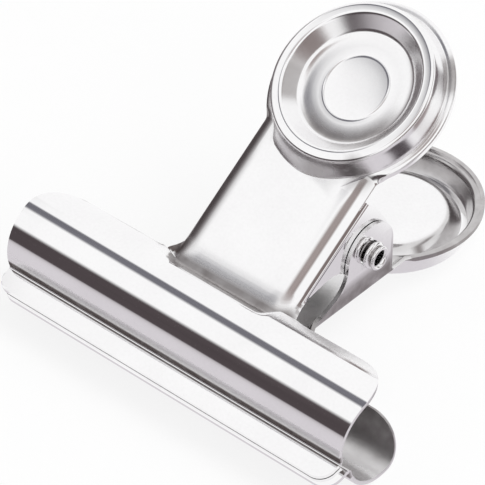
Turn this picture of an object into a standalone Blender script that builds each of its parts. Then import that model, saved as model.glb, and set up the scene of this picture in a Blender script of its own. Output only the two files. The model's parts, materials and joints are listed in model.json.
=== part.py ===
# Round binder clip: two identical sprung plates that hinge on a hollow pin.
# Lengths are in metres. The clip lies on its rear plate, with the pin along X and the jaw towards -Y.
# Each plate has its own frame: the pin axis at the origin, Y along its handle, Z out of its face.

import math

import bmesh
import bpy
from mathutils import Matrix, Vector

# Sheet, clearances and facets
SHEET = 0.0005
CLEARANCE = 0.0003
ARC_STEP = math.radians(12)
FOLD_STEPS = 5
FADE_STEPS = 4
DISC_SIDES = 48
SAME_PLACE = 0.000005

# Jaw: a roll that rises from the panel and ends in a flat lip
JAW_WIDTH = 0.051
JAW_RADIUS = 0.00584
PANEL_LENGTH = 0.01156
JAW_BACK_ANGLE = math.radians(25)
JAW_CORNER = 0.0055
NECK_BEND = 0.0012
LIP_BEND = 0.0006
LIP_LENGTH = 0.00275
LIP_CORNER = 0.0024

# Handle panel and the flanges that carry the ears
PANEL_HEIGHT = 0.0064
PANEL_TILT = math.radians(17.3)
EAR_FACE = 0.0092
FLANGE_BEND = 0.0012
FLANGE_FADE = 0.0035
EAR_RADIUS = 0.0040
EAR_FORWARD = 0.0003
EAR_RISE = 0.0004
SHOULDER_RADIUS = 0.0035
SHOULDER_SWEEP = math.radians(65)
SHOULDER_RUN = 0.0034
NECK_FILLET = 0.0036
EAR_FOOT = 0.0008

# Thumb disc, raised out of the panel, with a skirt turned down round its edge
DISC_REACH = 0.01477
DISC_RISE = 0.00287
RIM_RADIUS = 0.00988
RIM_WIDTH = 0.00128
RIM_EDGE = 0.0002
DISH_DEPTH = 0.00194
DISH_WALL = 0.0016
PAD_RADIUS = 0.00402
PAD_STEP = 0.00014
WALL_RUN = 0.00162
SKIRT_DROP = 0.00081
SKIRT_BEND = 0.0004

# Pin
PIN_RADIUS = 0.0013
PIN_WALL = 0.0004
PIN_STAND = 0.0016
BEAD_RISE = 0.0004
BEAD_WIDTH = 0.0005
PIN_SIDES = 24

# Spring
WIRE_RADIUS = 0.00045
COIL_CLEARANCE = 0.00035
COIL_TURNS = 9
COIL_END_ROOM = 0.0012
COIL_POINTS = 9
LEG_REACH = 0.0048
FOOT_LENGTH = 0.0014

# Sizes that follow from the ones above
JAW_REACH = PANEL_LENGTH + JAW_RADIUS
RIM_HEIGHT = PANEL_HEIGHT + DISC_RISE
SKIRT_RADIUS = RIM_RADIUS + WALL_RUN
SKIRT_EDGE = PANEL_HEIGHT - SKIRT_DROP
INNER_EAR_FACE = EAR_FACE - SHEET - CLEARANCE
COIL_RADIUS = PIN_RADIUS + COIL_CLEARANCE + WIRE_RADIUS

# Finish
NICKEL = (0.82, 0.81, 0.81, 1.0)
NICKEL_ROUGHNESS = 0.08
SPRING_STEEL = (0.55, 0.54, 0.53, 1.0)
STEEL_ROUGHNESS = 0.3


def clear_scene():
    for item in list(bpy.data.objects):
        bpy.data.objects.remove(item, do_unlink=True)


def new_collection(name):
    collection = bpy.data.collections.new(name)
    bpy.context.scene.collection.children.link(collection)
    return collection


def metal(name, colour, roughness):
    material = bpy.data.materials.new(name)
    material.use_nodes = True
    shader = material.node_tree.nodes["Principled BSDF"]
    shader.inputs["Base Color"].default_value = colour
    shader.inputs["Metallic"].default_value = 1.0
    shader.inputs["Roughness"].default_value = roughness
    return material


def new_object(name, mesh, collection):
    item = bpy.data.objects.new(name, mesh)
    collection.objects.link(item)
    return item


def guide(item):
    item.hide_render = True
    item.display_type = "WIRE"
    return item


def evaluated_mesh(item):
    bpy.context.view_layer.update()
    graph = bpy.context.evaluated_depsgraph_get()
    return bpy.data.meshes.new_from_object(item.evaluated_get(graph))


def arc(centre, radius, start, stop):
    count = max(2, math.ceil(abs(stop - start) / ARC_STEP))
    angles = [start + (stop - start) * step / count for step in range(count + 1)]
    return [(centre[0] + radius * math.cos(a), centre[1] + radius * math.sin(a)) for a in angles]


def joined(*runs):
    points = []
    for run in runs:
        for point in run:
            if not points or math.dist(points[-1], point) > SAME_PLACE:
                points.append(point)
    return points


# The plate's long section, from the pin to the tip of the lip, on its outer face
def plate_section():
    centre = (-JAW_REACH, PANEL_HEIGHT)
    neck_angle = math.asin(NECK_BEND / (JAW_RADIUS + NECK_BEND))
    neck = (centre[0] + (JAW_RADIUS + NECK_BEND) * math.cos(neck_angle), PANEL_HEIGHT + NECK_BEND)
    lip_face = CLEARANCE / 2 + SHEET
    lip_way = Vector((-math.cos(PANEL_TILT), math.sin(PANEL_TILT)))
    lip_out = Vector((math.sin(PANEL_TILT), math.cos(PANEL_TILT)))
    rise = lip_face + LIP_BEND - lip_out.dot(Vector(centre))
    side = math.sqrt((JAW_RADIUS + LIP_BEND) ** 2 - rise ** 2)
    lip_centre = Vector(centre) + lip_way * side + lip_out * rise
    lip_angle = math.atan2(lip_centre.y - centre[1], lip_centre.x - centre[0])
    lip_start = lip_centre - lip_out * LIP_BEND
    turn_end = math.atan2(-lip_out.y, -lip_out.x)
    turn_start = lip_angle - math.pi
    lip_tip = lip_start + lip_way * LIP_LENGTH
    return joined(
        [(0.0, PANEL_HEIGHT)],
        arc(neck, NECK_BEND, -math.pi / 2, neck_angle - math.pi),
        arc(centre, JAW_RADIUS, neck_angle, lip_angle),
        arc(lip_centre, LIP_BEND, turn_start, turn_end),
        [tuple(lip_tip)],
    )


def section_lengths(section):
    lengths = [0.0]
    for first, second in zip(section, section[1:]):
        lengths.append(lengths[-1] + math.dist(first, second))
    return lengths


# Where a length along the section lies, and which way the face looks there
def on_section(section, lengths, length):
    for first, second, low, high in zip(section, section[1:], lengths, lengths[1:]):
        if length <= high or high == lengths[-1]:
            way = (Vector(second) - Vector(first)).normalized()
            return Vector(first) + way * (length - low), Vector((way.y, -way.x))


# Where a flange starts to fold, on the flat blank
def fold_start(face):
    return face - FLANGE_BEND


# How far from the middle a height on the folded flange lies on the flat blank
def blank_x(face, height):
    drop = PANEL_HEIGHT - height
    if drop < FLANGE_BEND:
        return fold_start(face) + FLANGE_BEND * math.acos(1 - drop / FLANGE_BEND)
    return fold_start(face) + FLANGE_BEND * (math.pi / 2 - 1) + drop


# Half of the flat blank, from the disc to the middle of the lip, as half widths and lengths towards the lip
def blank_half(face, tip):
    end_radius = SKIRT_RADIUS - SHEET - SHEET / 2
    side_angle = math.asin(fold_start(face) / end_radius)
    end = [(x, -DISC_REACH - y) for x, y in arc((0, 0), end_radius, -math.pi / 2, side_angle - math.pi / 2)]
    flange_end = DISC_REACH - math.sqrt((SKIRT_RADIUS - SHEET / 2) ** 2 - face ** 2)
    hump_centre = (EAR_FORWARD, EAR_RISE)
    back = EAR_FORWARD + EAR_RADIUS
    foot_centre = (back + EAR_FOOT, SKIRT_EDGE - EAR_FOOT)
    shoulder_centre = (EAR_FORWARD - EAR_RADIUS - SHOULDER_RADIUS, EAR_RISE)
    shoulder = arc(shoulder_centre, SHOULDER_RADIUS, 0, SHOULDER_SWEEP)
    run = (-math.sin(SHOULDER_SWEEP) * SHOULDER_RUN, math.cos(SHOULDER_SWEEP) * SHOULDER_RUN)
    neck = (shoulder[-1][0] + run[0], shoulder[-1][1] + run[1])
    flange = joined(
        [(flange_end, SKIRT_EDGE)],
        arc(foot_centre, EAR_FOOT, math.pi / 2, math.pi),
        arc(hump_centre, EAR_RADIUS, 0, -math.pi),
        shoulder,
        [neck],
    )
    ear = [(blank_x(face, height), -along) for along, height in flange]
    neck_angle = math.asin(NECK_BEND / (JAW_RADIUS + NECK_BEND))
    neck_end = JAW_REACH - (JAW_RADIUS + NECK_BEND) * math.cos(neck_angle)
    back_edge = neck_end + NECK_BEND * (math.pi / 2 - neck_angle) + JAW_RADIUS * (JAW_BACK_ANGLE - neck_angle)
    side = JAW_WIDTH / 2
    fillet_centre = (ear[-1][0] + NECK_FILLET, back_edge - NECK_FILLET)
    jaw = joined(
        arc(fillet_centre, NECK_FILLET, math.pi, math.pi / 2),
        arc((side - JAW_CORNER, back_edge + JAW_CORNER), JAW_CORNER, -math.pi / 2, 0),
        arc((side - LIP_CORNER, tip - LIP_CORNER), LIP_CORNER, 0, math.pi / 2),
    )
    return joined(end, ear, jaw)


# The flat blank as one face, bent along its section and folded down at its flanges
def bent_sheet():
    section = plate_section()
    lengths = section_lengths(section)
    right = blank_half(INNER_EAR_FACE, lengths[-1])
    left = blank_half(EAR_FACE, lengths[-1])
    outline = right + [(-x, length) for x, length in reversed(left)]
    faces = {1: INNER_EAR_FACE, -1: EAR_FACE}
    bm = bmesh.new()
    corners = [bm.verts.new((x, length, 0)) for x, length in joined(outline)[:-1]]
    bm.faces.new(corners)
    cuts = [((0, length, 0), (0, 1, 0)) for length in lengths[:-1]]
    fade_start = lengths[1] - FLANGE_FADE
    cuts += [((0, fade_start + FLANGE_FADE * step / FADE_STEPS, 0), (0, 1, 0)) for step in range(FADE_STEPS)]
    for side, face in faces.items():
        for step in range(FOLD_STEPS + 1):
            turned = FLANGE_BEND * math.pi / 2 * step / FOLD_STEPS
            cuts.append(((side * (fold_start(face) + turned), 0, 0), (1, 0, 0)))
    for place, normal in cuts:
        everything = bm.verts[:] + bm.edges[:] + bm.faces[:]
        bmesh.ops.bisect_plane(bm, geom=everything, dist=SAME_PLACE / 10, plane_co=place, plane_no=normal)
    bmesh.ops.triangulate(bm, faces=bm.faces)
    for vert in bm.verts:
        side = 1 if vert.co.x > 0 else -1
        vert.co = bent_point(abs(vert.co.x), vert.co.y, side, faces[side], section, lengths, fade_start)
    bmesh.ops.recalc_face_normals(bm, faces=bm.faces)
    top = max(bm.faces, key=lambda one: one.calc_center_median().z)
    if top.normal.z < 0:
        bmesh.ops.reverse_faces(bm, faces=bm.faces)
    mesh = bpy.data.meshes.new("bent_sheet")
    bm.to_mesh(mesh)
    bm.free()
    return mesh


def bent_point(half_width, length, side, face, section, lengths, fade_start):
    if length < 0:
        place, out = Vector((-length, PANEL_HEIGHT)), Vector((0, 1))
    else:
        place, out = on_section(section, lengths, length)
    fade = min(1.0, max(0.0, (lengths[1] - length) / (lengths[1] - fade_start)))
    most = math.pi / 2 * fade * fade * (3 - 2 * fade)
    past = half_width - fold_start(face)
    across = half_width
    drop = 0.0
    if past > 0 and most > 0:
        turn = min(past / FLANGE_BEND, most)
        straight = past - turn * FLANGE_BEND
        across = fold_start(face) + FLANGE_BEND * math.sin(turn) + straight * math.cos(turn)
        drop = FLANGE_BEND * (1 - math.cos(turn)) + straight * math.sin(turn)
    place = place - out * drop
    return Vector((side * across, place.x, place.y))


# The thumb disc, turned about its own axis
def disc_profile():
    floor = RIM_HEIGHT - DISH_DEPTH
    rim_inside = RIM_RADIUS - RIM_WIDTH
    dish = rim_inside - DISH_WALL
    return [
        (0.0, floor),
        (PAD_RADIUS, floor),
        (PAD_RADIUS + 2 * PAD_STEP, floor - PAD_STEP),
        (dish - SHEET, floor),
        (dish, floor + SHEET / 2),
        (rim_inside - RIM_EDGE, RIM_HEIGHT - RIM_EDGE),
        (rim_inside, RIM_HEIGHT),
        (RIM_RADIUS - RIM_EDGE, RIM_HEIGHT),
        (RIM_RADIUS, RIM_HEIGHT - RIM_EDGE),
        (RIM_RADIUS + WALL_RUN / 2, PANEL_HEIGHT + SKIRT_BEND),
        (SKIRT_RADIUS - SKIRT_BEND, PANEL_HEIGHT),
        (SKIRT_RADIUS, PANEL_HEIGHT - SKIRT_BEND),
        (SKIRT_RADIUS, SKIRT_EDGE),
    ]


def turned(name, profile, sides, collection):
    bm = bmesh.new()
    points = [bm.verts.new((radius, 0, height)) for radius, height in profile]
    for first, second in zip(points, points[1:]):
        bm.edges.new((first, second))
    mesh = bpy.data.meshes.new(name)
    bm.to_mesh(mesh)
    bm.free()
    item = new_object(name, mesh, collection)
    screw = item.modifiers.new("turn", "SCREW")
    screw.axis = "Z"
    screw.steps = sides
    screw.render_steps = sides
    screw.use_merge_vertices = True
    screw.merge_threshold = SAME_PLACE
    screw.use_smooth_shade = False
    return item


def shell(item):
    wall = item.modifiers.new("wall", "SOLIDIFY")
    wall.thickness = SHEET
    wall.offset = -1
    wall.use_even_offset = True
    return item


def cut(item, tool, operation):
    boolean = item.modifiers.new(operation.lower(), "BOOLEAN")
    boolean.operation = operation
    boolean.object = tool
    boolean.solver = "EXACT"


def box(name, low, high, collection):
    bm = bmesh.new()
    bmesh.ops.create_cube(bm, size=1)
    size = Vector(high) - Vector(low)
    middle = (Vector(high) + Vector(low)) / 2
    bmesh.ops.transform(bm, matrix=Matrix.Translation(middle) @ Matrix.Diagonal((*size, 1)), verts=bm.verts)
    mesh = bpy.data.meshes.new(name)
    bm.to_mesh(mesh)
    bm.free()
    return guide(new_object(name, mesh, collection))


def cross_rod(name, radius, length, collection):
    bm = bmesh.new()
    bmesh.ops.create_cone(
        bm, cap_ends=True, segments=PIN_SIDES, radius1=radius, radius2=radius, depth=length,
        matrix=Matrix.Rotation(math.pi / 2, 4, "Y"),
    )
    mesh = bpy.data.meshes.new(name)
    bm.to_mesh(mesh)
    bm.free()
    return guide(new_object(name, mesh, collection))


# One stamping: the bent sheet and the turned disc become one body, and the pin's holes go through its ears
def plate_mesh(cutters):
    sheet = guide(shell(new_object("sheet", bent_sheet(), cutters)))
    disc = guide(shell(turned("disc", disc_profile(), DISC_SIDES, cutters)))
    disc.location = (0, DISC_REACH, 0)
    under_panel = box(
        "under_panel",
        (SHEET / 2 - EAR_FACE, 0, -PANEL_HEIGHT),
        (INNER_EAR_FACE - SHEET / 2, DISC_REACH - RIM_RADIUS + RIM_WIDTH, PANEL_HEIGHT - SHEET / 2),
        cutters,
    )
    pin_hole = cross_rod("pin_hole", PIN_RADIUS + CLEARANCE, JAW_WIDTH, cutters)
    cut(disc, under_panel, "DIFFERENCE")
    cut(sheet, disc, "UNION")
    cut(sheet, pin_hole, "DIFFERENCE")
    mesh = evaluated_mesh(sheet)
    mesh.name = "plate"
    return mesh


# The hollow pin with a bead outside each ear
def pin_mesh(cutters):
    end = EAR_FACE + PIN_STAND
    bead = EAR_FACE + CLEARANCE
    half = [
        (PIN_RADIUS - PIN_WALL, end),
        (PIN_RADIUS, end),
        (PIN_RADIUS, bead + BEAD_WIDTH),
        (PIN_RADIUS + BEAD_RISE, bead + BEAD_WIDTH * 3 / 4),
        (PIN_RADIUS + BEAD_RISE, bead + BEAD_WIDTH / 4),
        (PIN_RADIUS, bead),
    ]
    other_half = [(radius, -height) for radius, height in reversed(half)]
    profile = half + other_half + half[:1]
    tube = guide(turned("pin", profile, PIN_SIDES, cutters))
    mesh = evaluated_mesh(tube)
    bm = bmesh.new()
    bm.from_mesh(mesh)
    bmesh.ops.remove_doubles(bm, verts=bm.verts, dist=SAME_PLACE)
    bmesh.ops.rotate(bm, verts=bm.verts, cent=(0, 0, 0), matrix=Matrix.Rotation(math.pi / 2, 3, "Y"))
    bmesh.ops.recalc_face_normals(bm, faces=bm.faces)
    bm.to_mesh(mesh)
    bm.free()
    mesh.name = "pivot_pin"
    return mesh


# The spring's wire: a leg on the rear panel, the curls from left to right, and a leg on the front panel
def spring_points():
    leg_height = PANEL_HEIGHT - SHEET - CLEARANCE - WIRE_RADIUS
    tilt = Matrix.Rotation(PANEL_TILT, 2)
    heel = tilt @ Vector((LEG_REACH, leg_height))
    toe = tilt @ Vector((LEG_REACH + FOOT_LENGTH, leg_height))
    leaves = math.atan2(heel.y, heel.x) + math.acos(COIL_RADIUS / heel.length)
    sweep = 2 * math.pi * COIL_TURNS - 2 * leaves
    side = INNER_EAR_FACE - SHEET - COIL_END_ROOM - WIRE_RADIUS
    count = round(COIL_POINTS * sweep / (2 * math.pi))
    curls = []
    for step in range(count + 1):
        share = 2 * step / count - 1
        angle = math.pi * (COIL_TURNS % 2) - share * sweep / 2
        curls.append(Vector((side * share, COIL_RADIUS * math.cos(angle), COIL_RADIUS * math.sin(angle))))
    front = [Vector((side, heel.x, heel.y)), Vector((side, toe.x, toe.y))]
    rear = [Vector((-point.x, point.y, -point.z)) for point in reversed(front)]
    return rear + curls + front


def least_gap(points):
    fine = []
    for first, second in zip(points, points[1:]):
        fine += [first.lerp(second, share) for share in (0, 0.25, 0.5, 0.75)]
    walked = [0.0]
    for first, second in zip(fine, fine[1:]):
        walked.append(walked[-1] + (second - first).length)
    apart = math.pi * COIL_RADIUS
    least = math.inf
    for index, first in enumerate(fine):
        for other in range(index + 1, len(fine)):
            if walked[other] - walked[index] > apart:
                least = min(least, (fine[other] - first).length)
    return least - 2 * WIRE_RADIUS


def spring_curve(points):
    curve = bpy.data.curves.new("torsion_spring", "CURVE")
    curve.dimensions = "3D"
    curve.bevel_depth = WIRE_RADIUS
    curve.bevel_resolution = 1
    curve.use_fill_caps = True
    spline = curve.splines.new("POLY")
    spline.points.add(len(points) - 1)
    for target, point in zip(spline.points, points):
        target.co = (*point, 1)
    return curve


# How far the clip leans when its rear jaw and the far edge of its rear rim lie on the same surface
def lying_tilt():
    tilt = Matrix.Rotation(PANEL_TILT, 2)
    jaw = tilt @ Vector((-JAW_REACH, PANEL_HEIGHT))
    rim = tilt @ Vector((DISC_REACH + RIM_RADIUS - RIM_EDGE, RIM_HEIGHT))
    way = rim - jaw
    return math.atan2(way.y, way.x) - math.asin(JAW_RADIUS / way.length)


def overall_box(items):
    corners = [item.matrix_world @ vert.co for item in items for vert in evaluated_mesh(item).vertices]
    return (
        Vector([min(corner[axis] for corner in corners) for axis in range(3)]),
        Vector([max(corner[axis] for corner in corners) for axis in range(3)]),
    )


def build():
    clear_scene()
    parts = new_collection("round_binder_clip")
    cutters = new_collection("cutters")
    nickel = metal("polished_nickel", NICKEL, NICKEL_ROUGHNESS)
    wire = metal("spring_wire", SPRING_STEEL, STEEL_ROUGHNESS)
    lean = lying_tilt()

    pivot = bpy.data.objects.new("pivot", None)
    parts.objects.link(pivot)

    plate = plate_mesh(cutters)
    plate.materials.append(nickel)
    front_plate = new_object("front_plate", plate, parts)
    front_plate.rotation_euler = (PANEL_TILT, 0, 0)
    rear_plate = new_object("rear_plate", plate, parts)
    rear_plate.rotation_euler = (PANEL_TILT, math.pi, 0)

    pin = pin_mesh(cutters)
    pin.materials.append(nickel)
    pivot_pin = new_object("pivot_pin", pin, parts)

    points = spring_points()
    spring = spring_curve(points)
    spring.materials.append(wire)
    torsion_spring = new_object("torsion_spring", spring, parts)
    print("spring's least gap to itself: %.3f mm" % (least_gap(points) * 1000))

    pieces = [front_plate, rear_plate, pivot_pin, torsion_spring]
    for piece in pieces:
        piece.parent = pivot
    pivot.rotation_euler = (lean, 0, 0)
    bpy.context.view_layer.update()
    low, high = overall_box(pieces)
    pivot.location = (-(low.x + high.x) / 2, -(low.y + high.y) / 2, -low.z)
    bpy.context.view_layer.update()
    print("pivot at", [round(value, 6) for value in pivot.matrix_world.translation])
    print("leans by %.3f degrees" % math.degrees(lean))
    print("box", [round(value * 1000, 3) for value in high - low])


build()
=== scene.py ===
import json
import math

import bmesh
import bpy
from mathutils import Matrix, Vector

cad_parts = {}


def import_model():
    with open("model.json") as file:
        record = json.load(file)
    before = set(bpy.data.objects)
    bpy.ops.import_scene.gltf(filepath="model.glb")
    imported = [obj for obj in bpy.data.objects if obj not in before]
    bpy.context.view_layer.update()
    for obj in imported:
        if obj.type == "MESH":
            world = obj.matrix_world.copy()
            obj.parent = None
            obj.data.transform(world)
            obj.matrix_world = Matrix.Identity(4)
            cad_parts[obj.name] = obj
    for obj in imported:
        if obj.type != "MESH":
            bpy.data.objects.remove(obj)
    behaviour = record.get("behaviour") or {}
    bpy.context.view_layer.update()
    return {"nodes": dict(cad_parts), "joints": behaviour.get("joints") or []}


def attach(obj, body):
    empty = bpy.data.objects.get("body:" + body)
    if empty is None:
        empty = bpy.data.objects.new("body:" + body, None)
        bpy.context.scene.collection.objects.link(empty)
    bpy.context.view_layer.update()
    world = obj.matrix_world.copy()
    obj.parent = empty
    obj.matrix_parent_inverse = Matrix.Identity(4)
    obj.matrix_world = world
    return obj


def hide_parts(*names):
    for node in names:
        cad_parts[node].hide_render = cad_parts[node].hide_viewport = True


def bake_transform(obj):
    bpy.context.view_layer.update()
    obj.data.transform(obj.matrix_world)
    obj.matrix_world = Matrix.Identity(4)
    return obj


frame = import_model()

print("frame loaded, nodes:", ", ".join(sorted(frame["nodes"])))

hinge = Vector(frame["joints"][0]["pos_m"])  # the pin's axis, in metres
# lean is the whole clip's, tilt is each plate's off the clip's middle plane
lying = {"lean": math.radians(13.22), "tilt": math.radians(17.3)}
pinToWorld = Matrix.Translation(hinge) @ Matrix.Rotation(lying["lean"], 4, "X") @ Matrix.Scale(0.001, 4)
plateTilt = Matrix.Rotation(lying["tilt"], 4, "X")
frontToWorld = pinToWorld @ plateTilt
rearToWorld = pinToWorld @ Matrix.Rotation(math.pi, 4, "Y") @ plateTilt


# modelling helpers, all work on the active object in edit mode

def deselectAll():
    if bpy.context.object and bpy.context.object.mode == "EDIT":
        bpy.ops.object.mode_set(mode="OBJECT")
    bpy.ops.object.select_all(action="DESELECT")


def startCircle(name, corners, fill="NOTHING"):
    deselectAll()
    bpy.ops.mesh.primitive_circle_add(vertices=corners, radius=1, fill_type=fill)
    piece = bpy.context.object
    piece.name = name
    piece.data.name = name
    piece.data.attributes.new("column", "INT", "POINT")
    for index, value in enumerate(piece.data.attributes["column"].data):
        value.value = index
    bpy.ops.object.mode_set(mode="EDIT")
    return piece


def editMesh():
    return bmesh.from_edit_mesh(bpy.context.edit_object.data)


def placeSelected(place):
    mesh = editMesh()
    column = mesh.verts.layers.int["column"]
    for vert in mesh.verts:
        if vert.select:
            vert.co = place(vert[column])
    bmesh.update_edit_mesh(bpy.context.edit_object.data)


def extrudeRow(place):  # the selected edges are pulled out, and each new point goes to its column's place
    bpy.ops.mesh.extrude_edges_indiv()
    placeSelected(place)


def selectEdges(test):
    bpy.ops.mesh.select_mode(type="EDGE")
    bpy.ops.mesh.select_all(action="DESELECT")
    mesh = editMesh()
    for edge in mesh.edges:
        if test(edge):
            edge.select_set(True)
    mesh.select_flush_mode()
    bmesh.update_edit_mesh(bpy.context.edit_object.data)


def mergeAll(distance):
    bpy.ops.mesh.select_all(action="SELECT")
    bpy.ops.mesh.remove_doubles(threshold=distance)


def outward(place, direction):  # normals follow the face nearest to a place
    bpy.ops.mesh.select_all(action="SELECT")
    bpy.ops.mesh.normals_make_consistent(inside=False)
    face = min(editMesh().faces, key=lambda face: (face.calc_center_median() - Vector(place)).length)
    if face.normal.dot(direction) < 0:
        bpy.ops.mesh.flip_normals()


def applyModifier(piece, kind, **settings):
    modifier = piece.modifiers.new(kind.lower(), kind)
    for key, value in settings.items():
        setattr(modifier, key, value)
    deselectAll()
    bpy.context.view_layer.objects.active = piece
    piece.select_set(True)
    bpy.ops.object.modifier_apply(modifier=modifier.name)


def smoothPiece(piece, angle):
    deselectAll()
    bpy.context.view_layer.objects.active = piece
    piece.select_set(True)
    bpy.ops.object.shade_smooth_by_angle(angle=math.radians(angle))


def arc(centre, radius, start, stop, step=6):
    count = max(2, math.ceil(abs(stop - start) / step))
    angles = [math.radians(start + (stop - start) * n / count) for n in range(count + 1)]
    return [(centre[0] + radius * math.cos(a), centre[1] + radius * math.sin(a)) for a in angles]


def chain(*runs, apart=0.002):  # runs end to end, less the points that lie on the end of the run before
    points = []
    for run in runs:
        points += [p for p in run if not points or math.dist(points[-1], p) > apart]
    return points


def ease(value):  # from 0 to 1, slow at both ends
    value = min(1.0, max(0.0, value))
    return value * value * (3 - 2 * value)


# plates: a flat blank is cut out, rolled into the jaw and folded into flanges, then the disc is raised
# lengths in mm, angles in degrees; a point is x along the pin, along the handle, and height out of the face

plateSizes = {
    "sheet": 0.5, "edgeRound": 0.07, "edgeSegments": 2, "sharpEdge": 58.0, "smoothUnder": 50.0,
    "faceWeight": 50, "pinHole": 1.6, "drillSides": 48,
    "jawWidth": 51.0, "jawRadius": 5.84, "jawCorner": 5.5, "backAngle": 25.0,
    "panelLength": 11.56, "panelHeight": 6.4,
    "neckRise": 12.0, "neckSweep": 14.5, "neckCrease": 0.5,
    "neckPress": 1.3, "pressLeft": -11.2, "pressRight": 8.6, "pressRuns": (4.6, 2.0), "pressLean": 2.0,
    "pressTop": 52.0, "pressFoot": 8.0, "pressRun": 6.0, "pressEdge": 0.2,
    "lipCrease": 0.22, "lipLength": 2.6, "lipCorner": 2.0, "lipGap": 0.04,
    "rearLip": 0.38, "rearLipFrom": 0.6, "rearLipRun": 1.6, "innerTaper": 1.0, "outerTaper": 0.0,
    "outerFace": 9.08, "innerFace": 8.5, "foldStart": 2.0, "foldGrowth": 0.82,
    "innerFold": 1.0, "outerFold": 0.87, "skirtFold": 0.2, "foldCut": 3.9,
    "fadeFrom": 7.2, "fadeTo": 13.2,
    "earRadius": 4.0, "earForward": 0.3, "earRise": 0.4, "earFoot": 0.8,
    "shoulderRadius": 3.5, "shoulderSweep": 65.0,
    "innerRun": 3.4, "outerRun": 2.4, "innerFillet": 3.6, "outerFillet": 0.45,
    "tipReach": 10.6, "tipLength": 10.9, "slitFoot": 9.2, "slitSteps": 8,
    "discReach": 14.77, "skirtRadius": 11.5, "skirtDrop": 0.81, "skirtFillet": 2.5,
    "foot": 10.69, "footGap": 0.03,
    "footSpread": 0.85, "spreadLeft": 14.0, "spreadRight": 45.0, "spreadHeight": 2.2,
    "rimInside": 9.5, "weldSkirt": 0.012, "weldLedge": 0.01, "weldDisc": 0.004,
    "sweepStep": 1.25, "creaseStep": 9.0, "rollStep": 3.5, "earFootStep": 15.0, "cornerStep": 4.0,
    "lipStep": 7.5,
}

near = {  # mm within which a point counts as lying on a line, an edge or a ring
    "section": 0.0001, "fillet": 0.001, "cut": 0.0004, "flangeEnd": 0.002, "line": 0.01, "ring": 0.008,
    "ringHeight": 0.15,
}

discProfile = [  # radius and height above the panel, from the foot of the raised disc to its middle
    (10.66, 0.03), (10.62, 0.08), (10.58, 0.16), (10.54, 0.27), (10.44, 0.7), (10.34, 1.14), (10.25, 1.55),
    (10.16, 1.96), (10.07, 2.36), (9.98, 2.6), (9.88, 2.74), (9.74, 2.83), (9.6, 2.865), (9.45, 2.87),
    (8.9, 2.87), (8.74, 2.86), (8.6, 2.81), (8.48, 2.71), (8.38, 2.6), (7.24, 1.44), (7.1, 1.31),
    (6.94, 1.215), (6.76, 1.155), (6.5, 1.1), (6.2, 1.062), (5.8, 1.028), (5.3, 1.004), (4.7, 0.99),
    (4.28, 0.985), (4.12, 0.975), (4.05, 0.95), (3.99, 0.95), (3.92, 0.975), (3.7, 0.985), (2.6, 0.99),
    (1.3, 0.995),
]

sz = plateSizes
jawCentre = (-sz["panelLength"] - sz["jawRadius"], sz["panelHeight"])


def longSection():  # outer face of the plate, from beside the pin to the tip of the lip
    radius, crease = sz["jawRadius"], sz["neckCrease"]
    rise = math.radians(sz["neckRise"])
    height = sz["neckSweep"] * (1 - math.cos(rise)) + crease * math.cos(rise)
    across = math.sqrt((radius + crease) ** 2 - height ** 2)
    creaseCentre = (jawCentre[0] + across, sz["panelHeight"] + height)
    wallAngle = math.degrees(math.atan2(height, across))
    sweepEnd = creaseCentre[0] - crease * math.sin(rise)
    sweepCentre = (sweepEnd + sz["neckSweep"] * math.sin(rise), sz["panelHeight"] + sz["neckSweep"])
    sweep = arc(sweepCentre, sz["neckSweep"], -90, -90 - sz["neckRise"], sz["sweepStep"])
    creaseArc = arc(creaseCentre, crease, -90 - sz["neckRise"], wallAngle - 180, sz["creaseStep"])
    lipWay = Vector((-math.cos(lying["tilt"]), math.sin(lying["tilt"])))
    lipOut = Vector((math.sin(lying["tilt"]), math.cos(lying["tilt"])))
    lipRise = sz["lipGap"] + sz["sheet"] + sz["lipCrease"] - lipOut.dot(Vector(jawCentre))
    lipSide = math.sqrt((radius + sz["lipCrease"]) ** 2 - lipRise ** 2)
    lipCentre = Vector(jawCentre) + lipWay * lipSide + lipOut * lipRise
    lipAngle = math.degrees(math.atan2(lipCentre.y - jawCentre[1], lipCentre.x - jawCentre[0]))
    lipTurn = math.degrees(math.atan2(-lipOut.y, -lipOut.x))
    roll = arc(jawCentre, radius, wallAngle, lipAngle, sz["rollStep"])
    lipArc = arc(tuple(lipCentre), sz["lipCrease"], lipAngle - 180, lipTurn, sz["creaseStep"])
    lipTip = Vector(lipArc[-1]) + lipWay * sz["lipLength"]
    points = chain([(0.0, sz["panelHeight"])], sweep, creaseArc, roll, lipArc, [tuple(lipTip)])
    lengths = [0.0]
    for first, second in zip(points, points[1:]):
        lengths.append(lengths[-1] + math.dist(first, second))
    backEdge = lengths[points.index(creaseArc[-1])]
    backEdge += radius * math.radians(sz["backAngle"] - wallAngle)
    return points, lengths, backEdge, roll[-2], creaseArc[len(creaseArc) // 2]


section, sectionLengths, backEdge, lipCrease, neckHollow = longSection()
lipEnd = sectionLengths[-1]


def onSection(length):  # the point at a length along the section, and the way out of the sheet there
    if length <= 0:
        return Vector((-length, sz["panelHeight"])), Vector((0, 1))
    for first, second, low, high in zip(section, section[1:], sectionLengths, sectionLengths[1:]):
        if length <= high + near["section"] or high == lipEnd:
            way = (Vector(second) - Vector(first)).normalized()
            return Vector(first) + way * (length - low), Vector((way.y, -way.x))


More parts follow.
